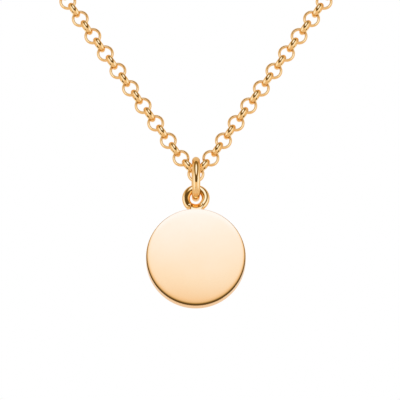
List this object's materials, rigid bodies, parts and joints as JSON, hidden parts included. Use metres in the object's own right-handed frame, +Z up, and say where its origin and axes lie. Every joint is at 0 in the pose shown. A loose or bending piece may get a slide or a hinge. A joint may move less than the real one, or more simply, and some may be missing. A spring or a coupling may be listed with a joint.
{
  "type": "disc pendant necklace",
  "caption": "Plain round disc with a soldered eye, on a jump ring that hangs from a whole loop of round-link chain.",
  "frame": {"origin": "at the nape, in the middle of the clasp, where the necklace hangs on the back of the neck", "axes": "+Z up, -Y towards the front of the disc, +X to the right as the front is looked at"},
  "size_m": [0.1024, 0.0956, 0.1361],
  "materials": {
    "mirror_gold": "mirror-polished warm gold plate",
    "polished_gold": "polished warm gold plate"
  },
  "bodies": {
    "chain": {"centre_link": "polished_gold", "chain_left": "polished_gold", "chain_right": "polished_gold", "clasp": "polished_gold"},
    "jump_ring": {"jump_ring": "polished_gold"},
    "disc": {"disc": "mirror_gold"}
  },
  "joints": [
    {"name": "ring_swing", "type": "hinge", "parent": "chain", "child": "jump_ring", "pos_m": [0, -0.09097, -0.11198], "axis": [1, 0, 0], "range_deg": [-20, 20]},
    {"name": "disc_swing", "type": "hinge", "parent": "jump_ring", "child": "disc", "pos_m": [0, -0.09097, -0.1164], "axis": [0, 1, 0], "range_deg": [-80, 80]}
  ]
}
